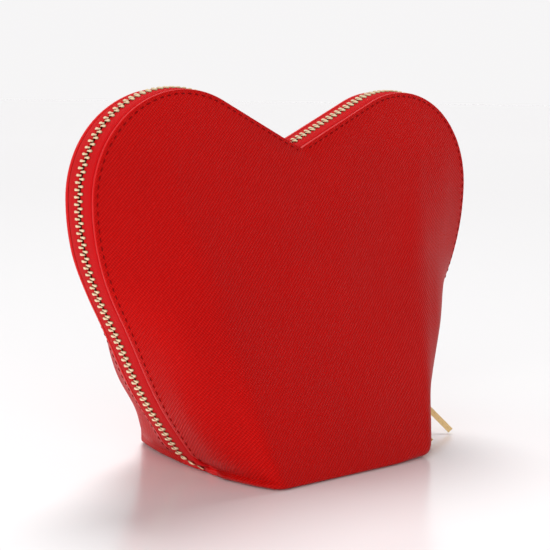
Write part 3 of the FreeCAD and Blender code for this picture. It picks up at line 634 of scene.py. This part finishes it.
# The swells of the face, the groove that the stitches lie in, and the seam and roll round the base.
FOOT_CLEAR = 5.0
SWELL_DEPTH, SWELL_EDGE, SWELL_FADE, SWELL_RISE = 0.32, 5.0, 14.0, 20.0
GROOVE_DEPTH, GROOVE_WIDTH, GROOVE_RISE = 0.05, 0.4, 4.0
SEAM_HEIGHT, SEAM_DEPTH, SEAM_WIDTH = 3.1, 0.55, 0.4
ROLL, ROLL_SOFT, ROLL_BEFORE_RIDGE, ROLL_RUN = 2.1, 1.1, 1.5, 4.0
ROLL_FROM, ROLL_FADE = -8.0, 14.0
# The lip: shares of the way from the face to its end, with the tuck inwards at each.
LIP_ROLL = ((0.18, 0.0), (0.34, -0.06), (0.55, -0.07), (0.76, 0.0), (0.92, 0.14), (1.0, 0.45))
LIP_FLAT = (0.3, 2.4)
CORNER_DRAW, CORNER_SINK = 0.35, 0.12
EDGE_STEP = 0.7
# The base: shares of the way from the seam in its middle to the fold, and how far the seam's edge closes.
BASE_SHARES = (0.0, 0.02, 0.12, 0.4, 0.7)
SEAM_CLOSE = 0.45


def lip_depth(z):
    """How far from the zip's middle the lip ends: the two lips close over the tail of the zip."""
    return -(SEAM_GAP + (LIP_REACH - SEAM_GAP) * smooth((z - CLOSED_HEIGHT) / (OPEN_HEIGHT - CLOSED_HEIGHT)))


def hand_made(rows, normals, edge_gap, rolled):
    """Small swells of hand-sewn leather, the sunk stitch line and, where it is rolled, the seam round the base."""
    x, y, z = rows[..., 0], rows[..., 1], rows[..., 2]
    # Waves, in radians per millimetre.
    swell = (np.sin(0.071 * x + 0.043 * z + 0.6) * np.sin(0.052 * z - 0.031 * x + 1.1)
             + 0.6 * np.sin(0.11 * x - 0.09 * z + 2.0))
    free = smooth((edge_gap - SWELL_EDGE) / SWELL_FADE) * smooth((z - FOOT_CLEAR) / SWELL_RISE)
    depth = SWELL_DEPTH * swell * free
    groove = GROOVE_DEPTH * np.exp(-((edge_gap - STITCH_LINE) / GROOVE_WIDTH) ** 2)
    depth -= groove * smooth((z - FOOT_CLEAR) / GROOVE_RISE)
    past_ridge = smooth((x - BASE_HALF_WIDTH + ROLL_BEFORE_RIDGE) / ROLL_RUN) * rolled
    depth -= SEAM_DEPTH * np.exp(-((z - SEAM_HEIGHT) / SEAM_WIDTH) ** 2) * past_ridge
    moved = rows + normals * depth[..., None]
    beside = smooth((ROLL_FROM - y) / ROLL_FADE) * past_ridge
    moved[..., 0] += ROLL * beside * smooth((SEAM_HEIGHT - z) / ROLL_SOFT)
    return moved


def leather_half(side_fold, rolled):
    """Half of a panel as a closed sheet: face, rolled lip, inside and base. Also its face and gaps to the edge."""
    face, flat = panel_rows(LIP_INSET, 0.0, LEATHER_FOLD, side_fold)
    inside, inside_flat = panel_rows(LIP_INSET + LEATHER_WALL, LEATHER_WALL, LEATHER_FOLD, side_fold)
    edge_gap = distance_to(face, densified(face[:, -1], EDGE_STEP))
    face = hand_made(face, grid_normals(face), edge_gap, rolled)
    corner, before = face[:, -1], face[:, -2]
    lip_y = lip_depth(corner[:, 2])
    out = outline(LIP_INSET) - outline(LIP_INSET + LEATHER_WALL)
    out = out / np.maximum(np.linalg.norm(out, axis=1, keepdims=True), 1e-9)
    columns = []
    for share, tuck in LIP_ROLL:
        y = corner[:, 1] + share * (lip_y - corner[:, 1])
        columns.append(np.column_stack([corner[:, 0] - out[:, 0] * tuck, y, corner[:, 2] - out[:, 1] * tuck]))
    strip = np.stack(columns, axis=1)
    soft = corner + (before - corner) * CORNER_DRAW
    soft[:, 1] += CORNER_SINK
    face[:, -1] = soft
    strip_uv = np.repeat(flat[:, -1:], len(LIP_ROLL), axis=1)
    strip_uv = strip_uv + np.linspace(*LIP_FLAT, len(LIP_ROLL))[None, :, None] * np.array([1.0, 0.0])
    whole = np.concatenate([face, strip, inside[:, ::-1]], axis=1)
    whole_uv = np.concatenate([flat, strip_uv, inside_flat[:, ::-1]], axis=1)
    under, under_uv = [], []
    for share in BASE_SHARES:
        row = whole[0].copy()
        row[:, 1] = np.minimum(row[:, 1] * share, -SEAM_GAP)
        if share == 0.0:
            middle = (whole[0, 0, 2] + whole[0, -1, 2]) / 2
            row[:, 2] += SEAM_CLOSE * (middle - row[:, 2])
        under.append(row)
        below = -np.abs(row[:, 1] - whole[0, :, 1])
        under_uv.append(whole_uv[0] + np.column_stack([np.zeros(len(row)), below]))
    whole = np.concatenate([np.array(under), whole])
    whole_uv = np.concatenate([np.array(under_uv), whole_uv])
    return whole, whole_uv, face, edge_gap


def leather_panel(side):
    """One panel on the front (-1) or the back (1), and the face and gaps of its right (1) and left (-1) half."""
    points, faces, uv, marks, halves = [], [], [], [], {}
    for mirror in (1.0, -1.0):
        left = mirror < 0
        fold = LEATHER_FOLD if left else FOLD_RADIUS
        whole, whole_uv, face, edge_gap = leather_half(fold, left and side < 0)
        halves[mirror] = (face, edge_gap)
        rows, width = whole.shape[:2]
        first_lip = face.shape[1] - 1
        start = len(points) * rows * width
        points.append(placed(whole, mirror, side).reshape(-1, 3))
        uv.append((whole_uv * np.array([mirror, 1.0])).reshape(-1, 2))
        for quad in grid_faces(rows, width):
            column = quad[0] % width
            faces.append([start + k for k in quad])
            marks.append(1 if first_lip <= column < first_lip + len(LIP_ROLL) else 0)
        for c in range(width // 2):
            d = width - 1 - c
            if d - 1 > c + 1:
                faces.append([start + c, start + c + 1, start + d - 1, start + d])
                marks.append(1)
    name = f"{half_name(side)}_leather"
    piece = new_object(name, np.concatenate(points), faces, np.concatenate(uv), marks)
    return tidy(piece), halves


def stitch_path(face, gap):
    """The line of stitches: where each row of the face is the stitch distance from the edge."""
    normals = grid_normals(face)
    path, tops = [], []
    for row, distance, normal in zip(face, gap, normals):
        if row[-1, 2] < STITCH_FOOT:
            continue
        inside = np.nonzero(distance > STITCH_LINE)[0]
        if not len(inside) or inside[-1] + 1 >= len(row):
            continue
        k = inside[-1]
        share = (distance[k] - STITCH_LINE) / max(1e-9, distance[k] - distance[k + 1])
        path.append(row[k] * (1 - share) + row[k + 1] * share)
        tops.append(normal[k])
    return np.array(path), np.array(tops)


def capsules(path, tops):
    """Stitches lying on a line of points, each a slightly bowed thread, thin and sunk at its ends."""
    s = along(path)
    rings, sides = 7, 8
    end_thick, end_lift, bow_lift = 0.25, -0.55, 1.1
    points, faces = [], []
    for middle in np.arange(STITCH_PITCH / 2, s[-1], STITCH_PITCH):
        where = middle + np.linspace(-STITCH_LENGTH / 2, STITCH_LENGTH / 2, rings)
        centre = np.column_stack([np.interp(where, s, path[:, k]) for k in range(3)])
        top = np.array([np.interp(middle, s, tops[:, k]) for k in range(3)])
        top /= np.linalg.norm(top)
        forward = centre[-1] - centre[0]
        forward /= np.linalg.norm(forward)
        side = np.cross(forward, top)
        bow = np.cos(np.linspace(-math.pi / 2, math.pi / 2, rings))
        start = len(points)
        for ring in range(rings):
            thick = THREAD_RADIUS * (end_thick + (1.0 - end_thick) * bow[ring] ** 0.5)
            lift = THREAD_RADIUS * (end_lift + bow_lift * bow[ring])
            for k in range(sides):
                turn = 2 * math.pi * k / sides
                points.append(centre[ring] + top * (lift + thick * math.sin(turn)) + side * thick * math.cos(turn))
        faces += tube_faces(rings, sides, start)
    return points, faces


def stitches(name, halves, side):
    """The row of stitches round one panel."""
    points, faces = [], []
    for mirror, (face, gap) in halves.items():
        path, tops = stitch_path(face, gap)
        flip = np.array([mirror, -side, 1.0])
        more, more_faces = capsules(placed(path, mirror, side), tops * flip)
        faces += [[len(points) + k for k in f] for f in more_faces]
        points += more
    return tidy(new_object(name, np.array(points), faces), FINE_MERGE)


for side, half in ((-1, "front"), (1, "back")):
    bends = side < 0
    panel, panel_halves = leather_panel(side)
    dress(panel, [LEATHER, EDGE], "back_half", [f"{half}_panel"], bends)
    thread = stitches(f"{half}_stitches", panel_halves, side)
    dress(thread, THREAD, "back_half", (), bends)


# ---------------------------------------------------------------- lining, card and boards

LINING_WALL = 0.4
LINING_OFFSET = 2.8
LINING_INSET = 4.2
LINING_REACH = 6.6
LINING_STEP_BACK = 0.2
LINING_HEM = (0.35, 0.7, 1.0)
HEM_FLAT = 1.5
LINING_FLOOR = (0.0, 0.33, 0.66)
CARD_WALL = 0.7
CARD_EDGE_COLUMNS = 5
CARD_FOOT = 20.0
BOARD_CORNER, BOARD_SOFT, BOARD_CORNER_POINTS = 4.0, 0.3, 7


def sheet(name, grid, uv, side, wall):
    """A sheet with a wall from a right half's grid, on the front (-1) or back (1)."""
    both, both_uv = both_halves(grid, uv, side)
    piece = tidy(new_object(name, both.reshape(-1, 3), grid_faces(*both.shape[:2]), both_uv.reshape(-1, 2)))
    solid = piece.modifiers.new("wall", "SOLIDIFY")
    solid.thickness = wall * MM
    solid.offset = 0.0
    return piece


def lining_panel(side):
    """The lining of one half: the face, the turned-in edge under the tape and the floor."""
    face, flat = panel_rows(LINING_INSET, LINING_OFFSET)
    corner = face[:, -1]
    end = np.minimum(-LINING_REACH, corner[:, 1] + LINING_STEP_BACK)
    low = lip_depth(corner[:, 2])
    end = np.maximum(end, np.where(corner[:, 2] < OPEN_HEIGHT, low, end))
    strip = []
    for share in LINING_HEM:
        column = corner.copy()
        column[:, 1] = corner[:, 1] + share * (end - corner[:, 1])
        strip.append(column)
    strip = np.stack(strip, axis=1)
    hem = len(LINING_HEM)
    strip_uv = np.repeat(flat[:, -1:], hem, axis=1) + np.arange(1, hem + 1)[None, :, None] * np.array([HEM_FLAT, 0.0])
    whole, whole_uv = np.concatenate([face, strip], axis=1), np.concatenate([flat, strip_uv], axis=1)
    under, under_uv = [], []
    for share in LINING_FLOOR:
        row = whole[0].copy()
        row[:, 1] = np.minimum(row[:, 1] * share, -SEAM_GAP)
        under.append(row)
        under_uv.append(whole_uv[0] + np.column_stack([np.zeros(len(row)), row[:, 1] - whole[0, :, 1]]))
    whole, whole_uv = np.concatenate([np.array(under), whole]), np.concatenate([np.array(under_uv), whole_uv])
    return sheet(f"{half_name(side)}_lining_cloth", whole, whole_uv, side, LINING_WALL)


def card_panel(side):
    """The card midway between the leather and the lining, cut short of the edge and of the base."""
    leather, flat = panel_rows(LIP_INSET + LEATHER_WALL, LEATHER_WALL)
    lining, _ = panel_rows(LINING_INSET, LINING_OFFSET)
    face, flat = ((leather + lining) / 2)[:, :-CARD_EDGE_COLUMNS], flat[:, :-CARD_EDGE_COLUMNS]
    keep = face[:, 0, 2] > CARD_FOOT
    return sheet(f"{half_name(side)}_card", face[keep], flat[keep], side, CARD_WALL)


def board(side):
    """A base board: a plate with rounded corners and softened edges, in the place of its node."""
    half = half_name(side)
    low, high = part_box(f"{half}_base_board")
    low, high = np.array(low) / MM, np.array(high) / MM
    inner_low, inner_high = low + BOARD_CORNER, high - BOARD_CORNER
    step = 90 // (BOARD_CORNER_POINTS - 1)
    ring = []
    for cx, cy, start in ((inner_high[0], inner_high[1], 0), (inner_low[0], inner_high[1], 90),
                          (inner_low[0], inner_low[1], 180), (inner_high[0], inner_low[1], 270)):
        for k in range(BOARD_CORNER_POINTS):
            ring.append(on_circle((cx, cy), BOARD_CORNER, math.radians(start + step * k)))
    ring = np.array(ring)
    away = ring - ring.mean(0)
    away = away / np.linalg.norm(away, axis=1, keepdims=True)
    levels = ((BOARD_SOFT, low[2]), (0.0, low[2] + BOARD_SOFT), (0.0, high[2] - BOARD_SOFT), (BOARD_SOFT, high[2]))
    points = [np.column_stack([ring - away * draw, np.full(len(ring), z)]) for draw, z in levels]
    return tidy(new_object(f"{half}_board", np.concatenate(points), tube_faces(len(levels), len(ring))))


for side, half in ((-1, "front"), (1, "back")):
    bends = side < 0
    dress(lining_panel(side), LINING, "back_half", [f"{half}_lining"], bends)
    dress(card_panel(side), CARD, "back_half", [f"{half}_stiffener"], bends)
    dress(board(side), CARD, "back_half", [f"{half}_base_board"], bends)


# ---------------------------------------------------------------- zip

def chain_line():
    """The right half's line of teeth: dense places, lengths and outward normals."""
    line = outline(CHAIN_INSET, below=2, tail=40, straight=80, side=60, lobe=120, cleft=60)
    line = densified(line, CHAIN_STEP)
    ahead = np.gradient(line, axis=0)
    ahead /= np.linalg.norm(ahead, axis=1, keepdims=True)
    return line, along(line), np.column_stack([ahead[:, 1], -ahead[:, 0]])


# The tape's section as insets from the zip line and reaches from the zip's middle.
TAPE_PROFILE = ((4.1, 8.0), (3.1, 8.05), (2.5, 8.05), (2.1, 8.0), (1.75, 7.85), (1.5, 7.5), (1.3, 6.8),
                (1.14, 5.8), (1.06, 4.2), (1.04, 2.6), (0.95, 1.9), (0.75, 1.55), (0.95, 1.2), (1.4, 1.05),
                (1.85, 1.2), (2.05, 1.55), (1.85, 1.9), (1.75, 2.6), (1.76, 4.2), (1.84, 5.8), (2.0, 6.7),
                (2.2, 7.1), (2.5, 7.3), (3.1, 7.4), (4.1, 7.4))
TAPE_FIRST_ROW = BELOW_ROWS + 6


def zip_tape(side):
    """One tape: sewn under the lip, rising over it to a beaded edge that carries the teeth."""
    rows, uv = [], []
    for inset, reach in TAPE_PROFILE:
        line = outline(inset)[TAPE_FIRST_ROW:]
        y = np.maximum(-reach, lip_depth(line[:, 1]) * reach / LIP_REACH)
        rows.append(np.column_stack([line[:, 0], y, line[:, 1]]))
        uv.append(np.column_stack([np.full(len(line), reach + inset), along(line)]))
    grid, flat = np.stack(rows, axis=1), np.stack(uv, axis=1)
    rings, sides = grid.shape[:2]
    points, faces, flats = [], [], []
    for mirror in (1.0, -1.0):
        faces += tube_faces(rings, sides, len(points) * rings * sides, capped=False)
        points.append(placed(grid, mirror, side, ZIP_OUT).reshape(-1, 3))
        flats.append(flat.reshape(-1, 2))
    return tidy(new_object(f"{half_name(side)}_tape", np.concatenate(points), faces, np.concatenate(flats)))


# The tooth's sections from its legs to its nose: place, half width and half height. A power under 1 squares them.
TOOTH_STATIONS = ((2.92, 0.16, 0.35), (2.84, 0.40, 0.78), (2.62, 0.56, 1.08), (2.2, 0.62, 1.22), (1.7, 0.62, 1.25),
                  (1.25, 0.56, 1.22), (0.85, 0.46, 1.10), (0.45, 0.44, 1.02), (0.05, 0.47, 1.0), (-0.3, 0.46, 0.94),
                  (-0.5, 0.34, 0.8), (-0.6, 0.14, 0.45))
TOOTH_SIDES, TOOTH_POWER = 14, 0.55


def tooth():
    """A tooth in its own axes: X along the zip, Y from its nose to its legs, Z outwards."""
    def squared(value):
        return math.copysign(abs(value) ** TOOTH_POWER, value)

    points = []
    for y, half_wide, half_high in TOOTH_STATIONS:
        for k in range(TOOTH_SIDES):
            turn = 2 * math.pi * k / TOOTH_SIDES
            points.append((half_wide * squared(math.cos(turn)), y, half_high * squared(math.sin(turn))))
    return np.array(points), tube_faces(len(TOOTH_STATIONS), TOOTH_SIDES)


TEETH_START = 5.0
CLEFT_CLEAR = 1.6


def teeth(side):
    """One row of teeth round both halves. The back row stands half a pitch further on."""
    line, s, normal = chain_line()
    form, form_faces = tooth()
    tail_end = on_circle(TAIL_CENTRE, TAIL_RADIUS - CHAIN_INSET, TAIL_ANGLE)
    first = s[np.searchsorted(line[:, 1], tail_end[1])] + TEETH_START + (0.5 * TOOTH_PITCH if side > 0 else 0.0)
    points, faces, heights = [], [], []
    for mirror in (1.0, -1.0):
        for place in np.arange(first, s[-1] - CLEFT_CLEAR, TOOTH_PITCH):
            x, z = np.interp(place, s, line[:, 0]), np.interp(place, s, line[:, 1])
            nx, nz = np.interp(place, s, normal[:, 0]), np.interp(place, s, normal[:, 1])
            length = math.hypot(nx, nz)
            nx, nz = nx / length, nz / length
            ahead = np.array([-nz, 0.0, nx])
            out = np.array([nx, 0.0, nz])
            local = form[:, :1] * ahead + form[:, 1:2] * np.array([0.0, side, 0.0]) + form[:, 2:] * out
            start = len(points) * len(form)
            points.append(placed(local + np.array([x, 0.0, z]), mirror, -1, ZIP_OUT))
            faces += [[start + k for k in f] for f in form_faces]
            # Each tooth's height out of the tape goes into its flat map, where the teeth's gold paints shade low down
            # and a highlight high up.
            heights.append(form[:, ::2])
    name = f"{half_name(side)}_zip_teeth"
    return tidy(new_object(name, np.concatenate(points), faces, np.concatenate(heights)), FINE_MERGE)


dress(zip_tape(-1), TAPE, None, ["front_zip_tape", "front_tape_run"], True)
dress(zip_tape(1), TAPE, "back_half", ["back_zip_tape"])
dress(teeth(-1), TEETH, None, ["front_teeth", "front_teeth_run"], True)
dress(teeth(1), TEETH, "back_half", ["back_teeth"])

SLIDER_PARTS = ("slider_body", "slider_bail", "pull_link", "pull_bar")
for name in ["left_end_stop", "right_end_stop"] + [f"{w}_{part}" for w in ("lower", "upper") for part in SLIDER_PARTS]:
    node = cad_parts[name]
    node.data.materials.clear()
    node.data.materials.append(GOLD)


# ---------------------------------------------------------------- stage, light and camera

# Sizes and places here are in metres. The lamps stay out of reflections, which show the pale world alone.
FLOOR_SIZE, FLOOR_HEIGHT = 60.0, -0.0003
LIT_PLACE = Vector((0.0, 0.0, 0.08))
SUN_STRENGTH, SUN_ANGLE, SUN_DIRECTION = 2.2, math.radians(26.0), Vector((-0.26, -0.39, -0.88))
WORLD_COLOUR, WORLD_LIGHT, WORLD_SEEN = (1.0, 0.99, 0.995, 1.0), 0.29, 0.925

bpy.ops.mesh.primitive_plane_add(size=FLOOR_SIZE, location=(0.0, 0.0, FLOOR_HEIGHT))
floor = bpy.context.object
floor.name = "floor"
floor.data.materials.append(Nodes("pale_floor").set(Base_Color=(0.93, 0.92, 0.925, 1.0), Roughness=0.22))


def shine(light, direction):
    """Puts a light into the scene, turned to a direction and hidden from reflections."""
    thing = bpy.data.objects.new(light.name, light)
    thing.rotation_euler = direction.to_track_quat("-Z", "Y").to_euler()
    thing.visible_glossy = False
    bpy.context.scene.collection.objects.link(thing)
    return thing


def lamp(name, place, size, power):
    """A round lamp that lights the purse from a place."""
    light = bpy.data.lights.new(name, "AREA")
    light.shape = "DISK"
    light.size = size
    light.energy = power
    shine(light, LIT_PLACE - Vector(place)).location = place


lamp("softbox", place=(-1.05, -1.1, 0.36), size=2.2, power=23.0)
lamp("side_light", place=(-1.2, 0.45, 0.4), size=1.0, power=4.0)
sun = bpy.data.lights.new("sky_light", "SUN")
sun.energy = SUN_STRENGTH
sun.angle = SUN_ANGLE
shine(sun, SUN_DIRECTION)

# The camera, reflections and clear surfaces see a pale world, and the purse is lit by a dimmer one.
world = bpy.data.worlds.new("studio")
bpy.context.scene.world = world
world.use_nodes = True
tree = world.node_tree
ground = next(n for n in tree.nodes if n.type == "BACKGROUND")
ground.inputs["Color"].default_value = WORLD_COLOUR
path_node = tree.nodes.new("ShaderNodeLightPath")
strength = tree.nodes.new("ShaderNodeMapRange")
seen = path_node.outputs["Is Camera Ray"]
for kind in ("Is Glossy Ray", "Is Transmission Ray"):
    either = tree.nodes.new("ShaderNodeMath")
    either.operation = "MAXIMUM"
    tree.links.new(seen, either.inputs[0])
    tree.links.new(path_node.outputs[kind], either.inputs[1])
    seen = either.outputs[0]
tree.links.new(seen, strength.inputs["Value"])
strength.inputs["To Min"].default_value = WORLD_LIGHT
strength.inputs["To Max"].default_value = WORLD_SEEN
tree.links.new(strength.outputs[0], ground.inputs["Strength"])

# The camera as it was fitted to the photograph's landmarks: angles in radians, distances in millimetres.
AZIMUTH, ELEVATION, CAMERA_ROLL = -0.69696, 0.12985, 0.01305
DISTANCE, TARGET, FOCAL_PIXELS, IMAGE_PIXELS = 596.68, (-2.916, 2.623, 78.104), 1365.44, 550.0
SENSOR_WIDTH, CLIP_START = 36.0, 0.01
level = math.cos(ELEVATION)
back = Vector((math.sin(AZIMUTH) * level, -math.cos(AZIMUTH) * level, math.sin(ELEVATION)))
right = Vector((math.cos(AZIMUTH), math.sin(AZIMUTH), 0.0))
up = back.cross(right)
right, up = (math.cos(CAMERA_ROLL) * right + math.sin(CAMERA_ROLL) * up,
             math.cos(CAMERA_ROLL) * up - math.sin(CAMERA_ROLL) * right)
camera_data = bpy.data.cameras.new("camera")
camera_data.sensor_width = SENSOR_WIDTH
camera_data.lens = FOCAL_PIXELS / IMAGE_PIXELS * SENSOR_WIDTH
camera_data.clip_start = CLIP_START
camera = bpy.data.objects.new("camera", camera_data)
turn = Matrix((right, up, back)).transposed().to_4x4()
camera.matrix_world = Matrix.Translation((Vector(TARGET) + back * DISTANCE) * MM) @ turn
bpy.context.scene.collection.objects.link(camera)
bpy.context.scene.camera = camera
bpy.context.scene.view_settings.view_transform = "Standard"
